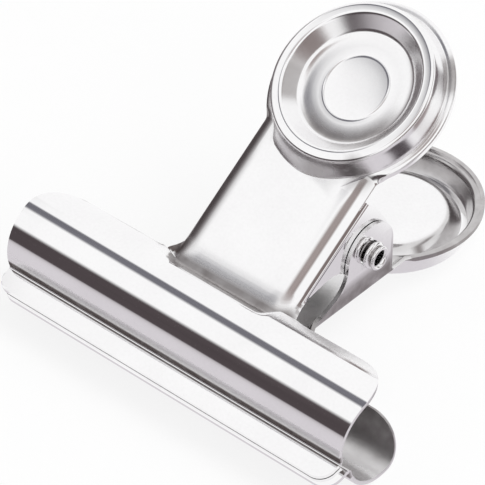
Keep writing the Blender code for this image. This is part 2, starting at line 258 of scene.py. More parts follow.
def neckPress(x, place):  # the neck's tool leaves the back of the roll pushed in between the folds
    left = sz["pressLeft"]
    if place.x > jawCentre[0] + sz["jawRadius"] - sz["pressEdge"]:
        share = ease(-place.x / sz["pressRun"])
    else:
        angle = math.degrees(math.atan2(place.y - jawCentre[1], place.x - jawCentre[0]))
        rest = min(1.0, max(0.0, (sz["pressTop"] - angle) / (sz["pressTop"] - sz["pressFoot"])))
        share = 1 - (1 - rest) ** 2
        left += sz["pressLean"] * ease((angle - sz["pressFoot"]) / (sz["backAngle"] - sz["pressFoot"]))
    width = ease((x - left) / sz["pressRuns"][0]) * ease((sz["pressRight"] - x) / sz["pressRuns"][1])
    return sz["neckPress"] * width * share


def foldTable():  # length along a fold, then how far across and down it has come; it turns ever more sharply
    rows = [(0.0, 0.0, 0.0)]
    step, turn = 0.01, 0.0
    while turn < math.pi / 2:
        along, across, drop = rows[-1]
        turn = math.radians(sz["foldStart"]) * (math.exp(sz["foldGrowth"] * (along + step / 2)) - 1)
        turn = min(turn, math.pi / 2)
        rows.append((along + step, across + step * math.cos(turn), drop + step * math.sin(turn)))
    return rows


fold = foldTable()
foldLength, foldAcross, foldDrop = fold[-1]


def foldScale(face):
    return sz["innerFold"] if face == sz["innerFace"] else sz["outerFold"]


def foldPoint(past, scale, most=math.pi / 2):  # across and down; the fold turns no further than most
    length = past / scale
    stop = min(foldLength, math.log(1 + most / math.radians(sz["foldStart"])) / sz["foldGrowth"])
    position = min(length, stop) / foldLength * (len(fold) - 1)
    low = min(int(position), len(fold) - 2)
    part = position - low
    across = fold[low][1] + (fold[low + 1][1] - fold[low][1]) * part
    drop = fold[low][2] + (fold[low + 1][2] - fold[low][2]) * part
    straight = max(0.0, length - stop)
    return (across + straight * math.cos(most)) * scale, (drop + straight * math.sin(most)) * scale


def bent(x, length):  # a point of the flat blank, after the jaw is rolled and the flanges are folded
    side = 1 if x > 0 else -1
    face = sz["innerFace"] if x > 0 else sz["outerFace"]
    place, out = onSection(length)
    scale = foldScale(face)
    most = math.pi / 2 * ease((sz["fadeTo"] - length) / (sz["fadeTo"] - sz["fadeFrom"]))
    start = face - foldAcross * scale
    across, drop = abs(x), 0.0
    if abs(x) > start and most > 0 and -length < discFillet(face)[0][1] + near["fillet"]:
        across, drop = foldPoint(abs(x) - start, scale, most)
        across += start
    place = place - out * drop
    return Vector((side * across, place.x - neckPress(x, place), place.y))


def blankX(face, height):  # where a height on a folded flange lies on the flat blank
    scale = foldScale(face)
    return face - foldAcross * scale + foldReach(sz["panelHeight"] - height, scale)


def foldReach(drop, scale):  # length along the fold at which it has come down so far
    if drop >= foldDrop * scale:
        return foldLength * scale + drop - foldDrop * scale
    return next(row[0] for row in fold if row[2] * scale >= drop) * scale


def discFillet(face):  # plan of the hollow corner between a flange and the disc's skirt
    radius = sz["skirtFillet"]
    reach = sz["skirtRadius"] + radius
    along = sz["discReach"] - math.sqrt(reach ** 2 - (face + radius) ** 2)
    centre = (face + radius, along)
    turn = math.degrees(math.atan2(sz["discReach"] - along, face + radius))
    return centre, turn


def sideOutline(face):  # one side of the flat blank, from the disc's fillet round the ear to the lip
    skirtEdge = sz["panelHeight"] - sz["skirtDrop"]
    start = discFillet(face)[0][1]
    back = sz["earForward"] + sz["earRadius"]
    shoulderCentre = (sz["earForward"] - sz["earRadius"] - sz["shoulderRadius"], sz["earRise"])
    shoulder = arc(shoulderCentre, sz["shoulderRadius"], 0, sz["shoulderSweep"])
    sweep = math.radians(sz["shoulderSweep"])
    run = sz["innerRun"] if face == sz["innerFace"] else sz["outerRun"]
    neck = (shoulder[-1][0] - math.sin(sweep) * run, shoulder[-1][1] + math.cos(sweep) * run)
    flange = chain(
        [(start, skirtEdge)],
        arc((back + sz["earFoot"], skirtEdge - sz["earFoot"]), sz["earFoot"], 90, 180, sz["earFootStep"]),
        arc((sz["earForward"], sz["earRise"]), sz["earRadius"], 0, -180),
        shoulder, [neck],
    )
    ear = [(blankX(face, height), -along) for along, height in flange]
    side = sz["jawWidth"] / 2
    lipSide = side - (sz["innerTaper"] if face == sz["innerFace"] else sz["outerTaper"])
    fillet, neckEnd = sz["innerFillet"], ear[-1:]
    if face == sz["outerFace"]:  # the fold runs out to a tip, and a short slit parts it from the roll
        fillet = sz["outerFillet"]
        slit = backEdge - fillet - sz["tipLength"]
        steps = sz["slitSteps"]
        neckEnd = []
        for n in range(steps + 1):
            reach = sz["tipReach"] + (sz["slitFoot"] - sz["tipReach"]) * ease(n / steps)
            neckEnd.append((reach, sz["tipLength"] + slit * n / steps))
    return chain(
        ear, neckEnd,
        arc((neckEnd[-1][0] + fillet, backEdge - fillet), fillet, 180, 90),
        arc((side - sz["jawCorner"], backEdge + sz["jawCorner"]), sz["jawCorner"], -90, 0, sz["cornerStep"]),
        arc((lipSide - sz["lipCorner"], lipEnd - sz["lipCorner"]), sz["lipCorner"], 0, 90, sz["lipStep"]),
    )


filletSteps, skirtSteps, panelSteps = 6, 66, 28
rightFillet, rightTurn = discFillet(sz["innerFace"])
leftFillet, leftTurn = discFillet(sz["outerFace"])
skirtFrom, skirtTo = -rightTurn, 180 + leftTurn
discAngles = [skirtFrom + (skirtTo - skirtFrom) * n / skirtSteps for n in range(skirtSteps + 1)]
discAngles += [skirtTo + (360 + skirtFrom - skirtTo) * n / panelSteps for n in range(1, panelSteps)]


def onDisc(radius, angle):
    return (radius * math.cos(math.radians(angle)), sz["discReach"] + radius * math.sin(math.radians(angle)))


def footReach(turn):  # from a fillet's centre to the disc's foot, at an angle off the line of centres
    away = sz["skirtRadius"] + sz["skirtFillet"]
    along = away * math.cos(math.radians(turn))
    return along - math.sqrt(along ** 2 - away ** 2 + (sz["foot"] + sz["footGap"]) ** 2)


def edgeStations():  # plan points and outward directions along the fillets and the skirt, right to left
    stations = []
    for n in range(filletSteps + 1):
        a = math.radians(180 - rightTurn * n / filletSteps)
        way = Vector((math.cos(a), math.sin(a)))
        stations.append((Vector(rightFillet) + way * sz["skirtFillet"], -way))
    for angle in discAngles[1:skirtSteps]:
        way = Vector((math.cos(math.radians(angle)), math.sin(math.radians(angle))))
        stations.append((Vector(onDisc(sz["skirtRadius"], angle)), way))
    for n in range(filletSteps + 1):
        a = math.radians(leftTurn * (filletSteps - n) / filletSteps)
        way = Vector((math.cos(a), math.sin(a)))
        stations.append((Vector((-leftFillet[0], leftFillet[1])) + way * sz["skirtFillet"], -way))
    return stations


stations = edgeStations()


def stationFold(station):  # the fold's scale at a station, and how much of it the disc's foot takes away
    steps = filletSteps
    left = len(stations) - 1 - station
    if station <= steps:
        share, turn, full = station / steps, rightTurn * (1 - station / steps), sz["innerFold"]
    elif left <= steps:
        share, turn, full = left / steps, leftTurn * (1 - left / steps), sz["outerFold"]
    else:
        share, turn, full = 1.0, 0.0, sz["skirtFold"]
    scale = full + (sz["skirtFold"] - full) * ease(share)
    taken = foldAcross * scale - (footReach(turn) - sz["skirtFillet"])
    return scale, max(0.0, taken)


def bandPoint(station, share):  # from the disc's foot at 0, over the fold, to the skirt's edge at 1
    face, way = stations[station]
    scale, taken = stationFold(station)
    across, drop = foldPoint(taken + share * (foldReach(sz["skirtDrop"], scale) - taken), scale)
    plan = face - way * (foldAcross * scale - across)
    if 0 < station < len(stations) - 1:
        drop -= foldPoint(taken, scale)[1] * (1 - share)
    return Vector((plan.x, plan.y, sz["panelHeight"] - drop))


rightLine = stations[0][0].x - foldAcross * sz["innerFold"] + stationFold(0)[1]
leftLine = stations[-1][0].x + foldAcross * sz["outerFold"] - stationFold(len(stations) - 1)[1]
rightCorner = math.degrees(math.atan2(rightFillet[1] - sz["discReach"], rightLine)) % 360
leftCorner = math.degrees(math.atan2(leftFillet[1] - sz["discReach"], leftLine)) % 360


def footSpread(angle):  # the wall's foot runs out further over the panel, most towards its left corner
    angle %= 360
    left, right = (angle - leftCorner) / sz["spreadLeft"], (rightCorner - angle) / sz["spreadRight"]
    return sz["footSpread"] * ease(left) * ease(right)


def blankOutline():  # along the disc's foot, down the right side and back up the left
    right = sideOutline(sz["innerFace"])
    left = [(-x, length) for x, length in sideOutline(sz["outerFace"])]
    start = [(rightLine, rightFillet[1])] + [tuple(bandPoint(n, 0).xy) for n in range(1, filletSteps + 1)]
    end = [tuple(bandPoint(n, 0).xy) for n in range(len(stations) - filletSteps - 1, len(stations) - 1)]
    end.append((leftLine, leftFillet[1]))
    overPanel = discAngles[skirtSteps:] + discAngles[:1]
    foot = [onDisc(sz["foot"] + footSpread(angle), angle) for angle in overPanel]
    flat = [(x, -along) for x, along in end[::-1] + foot + start[::-1]]
    return chain(flat, right, left[::-1])


def cutAt(place, normal, keep):  # cuts only the faces whose middle passes the test
    bpy.ops.mesh.select_mode(type="FACE")
    bpy.ops.mesh.select_all(action="DESELECT")
    mesh = editMesh()
    for face in mesh.faces:
        face.select_set(keep(face.calc_center_median()))
    bmesh.update_edit_mesh(bpy.context.edit_object.data)
    bpy.ops.mesh.bisect(plane_co=place, plane_no=normal, threshold=near["cut"])


def connectPoints(first, second):
    bpy.ops.mesh.select_mode(type="VERT")
    bpy.ops.mesh.select_all(action="DESELECT")
    mesh = editMesh()
    for place in (first, second):
        min(mesh.verts, key=lambda vert: (vert.co - Vector(place)).length).select_set(True)
    bmesh.update_edit_mesh(bpy.context.edit_object.data)
    bpy.ops.mesh.vert_connect()


blankCuts = {  # rows of the flat blank: lengths, insets from an edge, turns of a fold, shares of its band
    "panel": (-2.0, 1.5, 3.0, 4.5, 5.2, 5.9), "fadeStep": 0.4, "fadeRows": 18, "clear": 0.05,
    "lip": (2.4, 2.0, 1.6, 1.2, 0.8, 0.4, 0.15), "jawEnd": (0.25, 0.6, 1.1, 1.8, 2.7, 4.0, 5.5, 8.0),
    "flange": (1.0, 1.6, 2.4, 3.6, 5.2, 7.0), "turns": [0.5, 1.5, 3] + [5 * n for n in range(1, 19)],
    "band": (0.12, 0.24, 0.35, 0.44, 0.52, 0.58, 0.63, 0.67, 0.71, 0.75, 0.79, 0.83, 0.87, 0.91, 0.95, 0.98),
}


def cutBlank():
    cuts = blankCuts
    folds = [math.log(1 + turn / sz["foldStart"]) / sz["foldGrowth"] - foldAcross for turn in cuts["turns"]]
    byDisc = -sz["foldCut"]
    fade = [sz["fadeFrom"] + cuts["fadeStep"] * n for n in range(-1, cuts["fadeRows"])]
    lengths = sectionLengths[:-1] + fade
    lengths += [byDisc, *cuts["panel"]] + [lipEnd - inset for inset in cuts["lip"]]
    for length in sorted(lengths):
        cutAt((0, length, 0), (0, 1, 0), lambda middle: True)
    skirtEdge = sz["panelHeight"] - sz["skirtDrop"]
    sides = [
        (1, sz["innerFace"], rightLine, -rightFillet[1]),
        (-1, sz["outerFace"], -leftLine, -leftFillet[1]),
    ]
    for side, face, line, end in sides:
        scale = foldScale(face)
        for offset in [turned * scale for turned in folds] + list(cuts["flange"]):
            if face + offset < line - cuts["clear"] or face + offset > blankX(face, skirtEdge):
                cutAt((side * (face + offset), 0, 0), (1, 0, 0), lambda middle: middle.y > byDisc)
        cutAt((side * line, 0, 0), (1, 0, 0), lambda middle: middle.y > byDisc)
        connectPoints((side * line, end, 0), (side * line, byDisc, 0))
        for share in cuts["band"]:
            place = line + (blankX(face, skirtEdge) - line) * share
            cutAt((side * place, 0, 0), (1, 0, 0), lambda middle: middle.y > byDisc or middle.x * side > line)
        for inset in cuts["jawEnd"]:
            cutAt((side * (sz["jawWidth"] / 2 - inset), 0, 0), (1, 0, 0), lambda middle: middle.y > byDisc)


plateDrawnAndShade = {  # a pair is a limit and the run over which a mark comes or goes; the dark and shade marks are painted shade and painted reflections
    "jawFrom": -11.0, "jawInside": -0.25, "jawDark": (115, 70), "jawDrawn": 0.6, "jawShades": (0.1, 0.6),
    "hollowEdge": 11.6, "hollowRim": (9.2, 0.6), "hollowDish": (6.8, 0.4), "hollowDishEnd": (8.0, 0.5),
    "hollowDrawn": 0.1, "hollowShades": (0.5, 0.35), "hollowFacing": -0.05,
    "handleFrom": -13.0, "handleFacing": -0.3, "flangeTop": -0.8, "flangeFacing": 0.5, "handleDark": (-4, 5),
    "handleDrawn": 0.8, "handleShades": (0.1, 0.45),
    "wall": (9.6, 0.5), "wallEnd": (11.6, 0.4), "wallFoot": (-0.3, 0.4),
    "wallRight": (6, 4), "wallLeast": 0.3,
    "dish": (6.4, 0.8), "dishEnd": (8.7, 0.4), "floor": (4.4, 1.2), "floorEnd": (7.2, 0.6),
    "neckTop": (-8.6, 1.6), "neckFoot": (-13.4, 0.3), "neckSide": (10.5, 1.5),
    "rollFoot": (2.1, 0.5), "lipMark": (0.62, 0.2), "onRoll": 0.03,
    "back": (46, 10), "backSide": (8.4, 1.2), "onBack": 0.1,
    "ledge": (10.5, 0.25), "ledgeFrom": (20, 8), "ledgeTo": (52, 8), "ledgeFlat": (0.0, 0.5),
    "crease": (1.9, 1.6), "creaseSide": (10, 1.5), "creaseBack": (-0.9, 0.5),
    "tipSide": (7.2, 1.4), "tipTop": (-8.8, 1.2), "tipFoot": (-13.4, 0.4), "tipHeight": (8.2, 0.5),
    "corner": (1.9, 1.4), "crescent": (4.5, 1.8), "crescentEnd": (7.0, 0.3), "crescentTurn": -70,
    "crescentSweep": (80, 45),
    "foldSide": (6.9, 1.7), "foldFoot": (-10, 1.0), "foldDisc": (10.7, 0.6), "foldLow": (-3.5, 0.5),
    "drawn": {"dish": 0.5, "floor": 0.3, "neck": 0.5, "crease": 0.8, "back": 0.9, "tip": 0.8},
    # painted shade and painted reflections: how much each darkens the plating's colour
    "dark": {"ledge": 0.62, "corner": 0.55, "tip": 0.95, "crescent": 0.7, "leftFold": 0.75},
}


def past(value, limit):  # 0 up to the limit, 1 once its run is over
    return ease((value - limit[0]) / limit[1])


def short(value, limit):  # 1 well short of the limit, 0 beyond it
    return ease((limit[0] - value) / limit[1])


def drawnAndShadeAt(place, normal):  # how far the sheet was drawn, and how much painted shade and painted reflection darken the plating's colour, at a point
    drawnAndShade = plateDrawnAndShade
    x, along, height = place
    radius = math.hypot(x, along - sz["discReach"])
    angle = math.degrees(math.atan2(along - sz["discReach"], x))
    rise = height - sz["panelHeight"]
    onRoll = math.dist((along, height), jawCentre) - sz["jawRadius"]
    rolled = math.degrees(math.atan2(height - jawCentre[1], along - jawCentre[0]))
    if along < drawnAndShade["jawFrom"] and onRoll < drawnAndShade["jawInside"]:  # painted shade inside the jaw, darkest by the handle
        least, more = drawnAndShade["jawShades"]
        return drawnAndShade["jawDrawn"], least + more * short(rolled % 360, drawnAndShade["jawDark"])
    if radius < drawnAndShade["hollowEdge"] and normal.z < drawnAndShade["hollowFacing"]:  # painted shade in the hollow of the disc
        rim, dish = drawnAndShade["hollowShades"]
        dish *= past(radius, drawnAndShade["hollowDish"]) * short(radius, drawnAndShade["hollowDishEnd"])
        return drawnAndShade["hollowDrawn"], rim * past(radius, drawnAndShade["hollowRim"]) + dish
    flange = rise < drawnAndShade["flangeTop"] and normal.x * x < 0 and abs(normal.x) > drawnAndShade["flangeFacing"]
    if along > drawnAndShade["handleFrom"] and (normal.z < drawnAndShade["handleFacing"] or flange):  # painted shade inside the handle
        least, more = drawnAndShade["handleShades"]
        return drawnAndShade["handleDrawn"], least + more * short(along, drawnAndShade["handleDark"])

    wall = past(radius, drawnAndShade["wall"]) * short(radius, drawnAndShade["wallEnd"]) * past(rise, drawnAndShade["wallFoot"])
    wall *= drawnAndShade["wallLeast"] + (1 - drawnAndShade["wallLeast"]) * short(x, drawnAndShade["wallRight"])
    dish = past(radius, drawnAndShade["dish"]) * short(radius, drawnAndShade["dishEnd"])
    floor = past(radius, drawnAndShade["floor"]) * short(radius, drawnAndShade["floorEnd"])
    neck = short(along, drawnAndShade["neckTop"]) * past(along, drawnAndShade["neckFoot"]) * short(abs(x), drawnAndShade["neckSide"])
    toLip = math.dist((along, height), lipCrease)
    rollFoot = short(toLip, drawnAndShade["rollFoot"]) if onRoll < drawnAndShade["onRoll"] else 0.0
    # painted shade: a dark line along the lip's crease
    lipMark = short(toLip, drawnAndShade["lipMark"]) if onRoll < drawnAndShade["onRoll"] else 0.0
    back = short(abs(rolled), drawnAndShade["back"]) * past(x, drawnAndShade["backSide"]) if onRoll < drawnAndShade["onBack"] else 0.0
    # painted reflection: a dark band on part of the ledge round the disc
    ledge = past(radius, drawnAndShade["ledge"]) * past(angle, drawnAndShade["ledgeFrom"]) * short(angle, drawnAndShade["ledgeTo"])
    ledge *= past(normal.z, drawnAndShade["ledgeFlat"])
    # painted shade in the neck's hollow crease, on the panel side
    deep = along + neckPress(x, Vector(neckHollow)) - neckHollow[0]
    crease = short(math.hypot(deep, height - neckHollow[1]), drawnAndShade["crease"])
    crease *= short(abs(x), drawnAndShade["creaseSide"]) * past(deep, drawnAndShade["creaseBack"])
    # painted shade at the neck's left tip
    tip = past(-x, drawnAndShade["tipSide"]) * short(along, drawnAndShade["tipTop"])
    tip *= past(along, drawnAndShade["tipFoot"]) * short(height, drawnAndShade["tipHeight"])
    # painted shade in the disc's right corner
    corner = short(math.dist((x, along), (rightLine, rightFillet[1])), drawnAndShade["corner"])
    # painted reflection: a dark crescent on the dish
    crescent = past(radius, drawnAndShade["crescent"]) * short(radius, drawnAndShade["crescentEnd"])
    crescent *= short(abs(angle - drawnAndShade["crescentTurn"]), drawnAndShade["crescentSweep"])
    # painted reflection: a dark band along the left fold
    leftFold = past(-x, drawnAndShade["foldSide"]) * past(along, drawnAndShade["foldFoot"])
    leftFold *= past(radius, drawnAndShade["foldDisc"]) * past(rise, drawnAndShade["foldLow"])

    part = {
        "dish": dish, "floor": floor, "neck": neck, "crease": crease, "back": back, "tip": tip,
        "ledge": ledge, "corner": corner, "crescent": crescent, "leftFold": leftFold,
    }
    drawn = max(wall, rollFoot, *(share * part[name] for name, share in drawnAndShade["drawn"].items()))
    # the second value is painted shade and painted reflection for the plating's colour
    return drawn, max(lipMark, crease, *(share * part[name] for name, share in drawnAndShade["dark"].items()))


def markDrawnAndShade(piece, drawnAndShade):
    drawn = piece.data.attributes.new("drawn", "FLOAT", "POINT")
    # crease holds painted shade and painted reflections, which darken the plating's colour
    crease = piece.data.attributes.new("crease", "FLOAT", "POINT")
    for vert in piece.data.vertices:
        drawn.data[vert.index].value, crease.data[vert.index].value = drawnAndShade(vert.co, vert.normal)


def buildPlate():
    outline = blankOutline()
    piece = startCircle("front_plate_shell", len(outline), "NGON")
    placeSelected(lambda column: Vector((outline[column][0], outline[column][1], 0)))
    cutBlank()
    # the flange end beside the disc is found while the blank is flat, then everything is bent
    start, touch = rightFillet[1], near["flangeEnd"]
    mesh = editMesh()
    ends = [vert.co.x - rightLine for vert in mesh.verts if abs(vert.co.y + start) < touch]
    ends = sorted(end for end in ends if end > -touch)
    shares = [end / ends[-1] for end in ends]
    for vert in mesh.verts:
        vert.co = bent(vert.co.x, vert.co.y)
    bmesh.update_edit_mesh(piece.data)
    print("blank bent:", len(mesh.verts), "points")

    # skirt: the fold's edges at the right flange are pulled round the disc to the left flange
    def onFlangeEnd(vert):
        return abs(vert.co.y - start) < touch and vert.co.x > rightLine - near["line"] and vert.co.z > 0

    selectEdges(lambda edge: onFlangeEnd(edge.verts[0]) and onFlangeEnd(edge.verts[1]))
    mesh = editMesh()
    column = mesh.verts.layers.int["column"]
    for index, vert in enumerate(sorted((v for v in mesh.verts if v.select), key=lambda v: v.co.x - v.co.z)):
        vert[column] = index
    bmesh.update_edit_mesh(piece.data)
    for station in range(1, len(stations)):
        extrudeRow(lambda index: bandPoint(station, shares[index]))
    mergeAll(sz["weldSkirt"])

    # ledge round the raised disc, then the disc ring by ring from its foot to its middle
    nudge = 0.01  # degrees, so that the first column counts as 0 and not as 360

    def discAngle(vert):  # counted from the right fillet, round the far side
        return (math.degrees(math.atan2(vert.co.y - sz["discReach"], vert.co.x)) - skirtFrom + nudge) % 360

    def isRound(vert, radius, sweep):
        turned = discAngle(vert)
        spread = footSpread(turned + skirtFrom - nudge) if sweep == 360 else 0
        away = math.hypot(vert.co.x, vert.co.y - sz["discReach"]) - radius - spread
        level = abs(vert.co.z - sz["panelHeight"]) < near["ringHeight"]
        return abs(away) < near["ring"] and level and turned < sweep

    def selectRound(radius, sweep):  # each point on the circle becomes a column at its own angle
        selectEdges(lambda edge: all(isRound(vert, radius, sweep) for vert in edge.verts))
        rings = editMesh()
        column = rings.verts.layers.int["column"]
        angles = []
        for vert in rings.verts:
            if vert.select:
                vert[column] = len(angles)
                angles.append(discAngle(vert) + skirtFrom - nudge)
        bmesh.update_edit_mesh(piece.data)
        return angles

    ledge = (bandPoint(len(stations) // 2, 0).xy - Vector((0, sz["discReach"]))).length
    angles = selectRound(ledge, skirtTo - skirtFrom + 2 * nudge)
    extrudeRow(lambda index: Vector((*onDisc(sz["foot"], angles[index]), sz["panelHeight"])))
    mergeAll(sz["weldLedge"])
    angles = selectRound(sz["foot"], 360)
    for radius, height in discProfile:
        spread = 1 - ease(height / sz["spreadHeight"]) if radius > sz["rimInside"] else 0.0

        def onRing(index):
            plan = onDisc(radius + footSpread(angles[index]) * spread, angles[index])
            return Vector((*plan, sz["panelHeight"] + height))

        extrudeRow(onRing)
    bpy.ops.mesh.edge_face_add()
    mergeAll(sz["weldDisc"])
    outward((0, 1, sz["panelHeight"]), Vector((0, 0, 1)))
    bpy.ops.object.mode_set(mode="OBJECT")

    applyModifier(
        piece, "SOLIDIFY", thickness=sz["sheet"], offset=-1, use_even_offset=True, use_quality_normals=True)
    applyModifier(
        piece, "BEVEL", width=sz["edgeRound"], segments=sz["edgeSegments"], limit_method="ANGLE",
        angle_limit=math.radians(sz["sharpEdge"]), use_clamp_overlap=True, loop_slide=True)
    deselectAll()
    bpy.ops.mesh.primitive_cylinder_add(
        vertices=sz["drillSides"], radius=sz["pinHole"], depth=sz["jawWidth"], rotation=(0, math.pi / 2, 0))
    drill = bpy.context.object
    applyModifier(piece, "BOOLEAN", operation="DIFFERENCE", object=drill, solver="EXACT")
    bpy.data.objects.remove(drill)
    smoothPiece(piece, sz["smoothUnder"])
    applyModifier(piece, "WEIGHTED_NORMAL", keep_sharp=True, weight=sz["faceWeight"])
    markDrawnAndShade(piece, drawnAndShadeAt)
    return piece


frontPlate = buildPlate()
rearPlate = frontPlate.copy()
rearPlate.data = frontPlate.data.copy()
rearPlate.name = "rear_plate_shell"
rearPlate.data.name = "rear_plate_shell"
bpy.context.scene.collection.objects.link(rearPlate)
lipWay = Vector((0, -math.cos(lying["tilt"]), math.sin(lying["tilt"])))
lipFrom = Vector((0, *lipCrease))  # the rear lip is a little longer and shows below the front one
for vert in rearPlate.data.vertices:
    beyond = (vert.co - lipFrom).dot(lipWay)
    vert.co += lipWay * sz["rearLip"] * ease((beyond - sz["rearLipFrom"]) / sz["rearLipRun"])
frontPlate.data.transform(frontToWorld)
rearPlate.data.transform(rearToWorld)
print("plates:", len(frontPlate.data.polygons), "faces each")


# pin: a tube spun from rings, with a bead and a flared mouth at each end

pinSizes = {
    "sides": 40, "shank": 1.3, "weld": 0.004, "smoothUnder": 180,
    "half": [  # radius and distance from the middle, from the bore out over the mouth and back to the shank
        (0.93, 0.0), (0.93, 10.15), (0.95, 10.4), (1.01, 10.58), (1.1, 10.7), (1.21, 10.77), (1.33, 10.79),
        (1.43, 10.75), (1.49, 10.66), (1.5, 10.55), (1.46, 10.44), (1.39, 10.36), (1.31, 10.29), (1.27, 10.2),
        (1.27, 10.12), (1.33, 10.05), (1.45, 10.0), (1.57, 9.95), (1.66, 9.87), (1.7, 9.77), (1.7, 9.66),
        (1.66, 9.56), (1.57, 9.48), (1.47, 9.43), (1.39, 9.38), (1.34, 9.3), (1.31, 9.22),
    ],
    "drawn": 0.25, "grooveDark": 0.75, "groove": (1.46, 0.15), "facingOut": (0.2, 0.4),
}


def pinDrawnAndShade(place, normal):  # the bore stays bright, and painted shade darkens the colour between the beads
    outer = Vector((0, place.y, place.z)).normalized().dot(normal)
    groove = short(math.hypot(place.y, place.z), pinSizes["groove"])
    return pinSizes["drawn"], pinSizes["grooveDark"] * groove * past(outer, pinSizes["facingOut"])


def buildPin():
    half = pinSizes["half"]
    other = [(radius, -x) for radius, x in reversed(half[1:])]
    loop = half + other
    sides = pinSizes["sides"]

    def ring(radius, x):
        def place(index):
            angle = 2 * math.pi * index / sides
            return Vector((x, radius * math.cos(angle), radius * math.sin(angle)))
        return place

    piece = startCircle("pivot_pin_tube", sides)
    bpy.ops.mesh.select_mode(type="EDGE")
    placeSelected(ring(*loop[0]))
    for radius, x in loop[1:] + loop[:1]:
        extrudeRow(ring(radius, x))
    mergeAll(pinSizes["weld"])
    outward((0, 0, pinSizes["shank"]), Vector((0, 0, 1)))
    bpy.ops.object.mode_set(mode="OBJECT")
    smoothPiece(piece, pinSizes["smoothUnder"])
    markDrawnAndShade(piece, pinDrawnAndShade)
    piece.data.transform(pinToWorld)
    return piece


pivotPin = buildPin()
print("pin:", len(pivotPin.data.polygons), "faces")


# spring: one wire, a leg against each handle and the curls between them

springSizes = {
    "wire": 0.45, "wireRounds": 4, "smoothUnder": 60, "coil": 2.1, "turns": 9, "points": 28, "side": 6.25,
    "legReach": 4.8, "legGap": 0.3, "legMiddle": 0.4, "legBend": 0.16, "bendPoints": (0.25, 0.5, 0.75),
    "foot": 1.4, "footBend": 0.5, "footMiddle": 0.6,
}


def springPath():  # rear leg, curls and front leg; each leg leaves the curls along their tangent
    s = springSizes
    legHeight = sz["panelHeight"] - sz["sheet"] - s["legGap"] - s["wire"]
    turn = Matrix.Rotation(lying["tilt"], 2)
    heel = turn @ Vector((s["legReach"], legHeight))
    toe = turn @ Vector((s["legReach"] + s["foot"], legHeight))
    leaves = math.atan2(heel.y, heel.x) + math.acos(s["coil"] / heel.length)
    sweep = 2 * math.pi * s["turns"] - 2 * leaves
    count = round(s["points"] * sweep / (2 * math.pi))
    curls = []
    for step in range(count + 1):
        share = 2 * step / count - 1
        angle = math.pi * (s["turns"] % 2) - share * sweep / 2
        curls.append(Vector((s["side"] * share, s["coil"] * math.cos(angle), s["coil"] * math.sin(angle))))
    leave = curls[-1]
    knee = Vector((s["side"], heel.x, heel.y))
    toeEnd = Vector((s["side"], toe.x, toe.y))
    bendStart, bendEnd = knee.lerp(leave, s["legBend"]), knee.lerp(toeEnd, s["footBend"])
    bend = [bendStart.lerp(knee, t).lerp(bendEnd, t * t) for t in s["bendPoints"]]
    leg, foot = leave.lerp(knee, s["legMiddle"]), knee.lerp(toeEnd, s["footMiddle"])
    front = [leg, bendStart] + bend + [foot, toeEnd]
    rear = [Vector((-point.x, point.y, -point.z)) for point in reversed(front)]
    return rear + curls + front


def buildSpring():
    deselectAll()
    curve = bpy.data.curves.new("torsion_spring_wire", "CURVE")
    curve.dimensions = "3D"
    curve.bevel_depth = springSizes["wire"]
    curve.bevel_resolution = springSizes["wireRounds"]
    curve.use_fill_caps = True
    points = springPath()
    spline = curve.splines.new("POLY")
    spline.points.add(len(points) - 1)
    for target, point in zip(spline.points, points):
        target.co = (*point, 1)
    piece = bpy.data.objects.new("torsion_spring_wire", curve)
    bpy.context.scene.collection.objects.link(piece)
    bpy.context.view_layer.objects.active = piece
    piece.select_set(True)
    bpy.ops.object.convert(target="MESH")
    piece = bpy.context.object
    smoothPiece(piece, springSizes["smoothUnder"])
    piece.data.transform(pinToWorld)
    return piece


spring = buildSpring()
print("spring:", len(spring.data.polygons), "faces")


# finishes

class Term:  # a socket that takes part in sums
    def __init__(self, finish, socket):
        self.finish = finish
        self.socket = socket

    def sum(self, operation, first, second):
        return self.finish.node("ShaderNodeMath", {"operation": operation}, {0: first, 1: second})

    def __add__(self, other):
        return self.sum("ADD", self, other)

    def __radd__(self, other):
        return self.sum("ADD", other, self)

    def __sub__(self, other):
        return self.sum("SUBTRACT", self, other)

    def __rsub__(self, other):
        return self.sum("SUBTRACT", other, self)

    def __mul__(self, other):
        return self.sum("MULTIPLY", self, other)

    def __rmul__(self, other):
        return self.sum("MULTIPLY", other, self)


class Finish:
    def __init__(self, tree):
        self.tree = tree

    def node(self, kind, settings=None, sockets=None, output=0):
        made = self.tree.nodes.new(kind)
        for key, value in (settings or {}).items():
            if key == "stops":
                ramp = made.color_ramp
                while len(ramp.elements) < len(value):
                    ramp.elements.new(1.0)
                for element, (position, colour) in zip(ramp.elements, value):
                    element.position = position
                    element.color = colour
            else:
                setattr(made, key, value)
        for key, value in (sockets or {}).items():
            if isinstance(value, Term):
                self.tree.links.new(value.socket, made.inputs[key])
            else:
                made.inputs[key].default_value = value
        return Term(self, made.outputs[output]) if len(made.outputs) else None


def newMaterial(name):
    material = bpy.data.materials.new(name)
    material.use_nodes = True
    material.node_tree.nodes.clear()
    return material, Finish(material.node_tree)


def noise(finish, place, scale, detail=2.0):
    return finish.node("ShaderNodeTexNoise", sockets={"Vector": place, "Scale": scale, "Detail": detail})


def blend(finish, share, first, second):
    return finish.node("ShaderNodeMix", {"data_type": "RGBA"}, {"Factor": share, 6: first, 7: second}, 2)


def softStep(finish, value, low, high):
    return finish.node("ShaderNodeMapRange", {"interpolation_type": "SMOOTHSTEP"}, {
        "Value": value, "From Min": low, "From Max": high})


def metal(finish, colour, rough, bump):
    shader = finish.node("ShaderNodeBsdfPrincipled", sockets={
        "Base Color": colour, "Metallic": 1.0, "Roughness": rough, "Normal": bump})
    finish.node("ShaderNodeOutputMaterial", sockets={"Surface": shader})


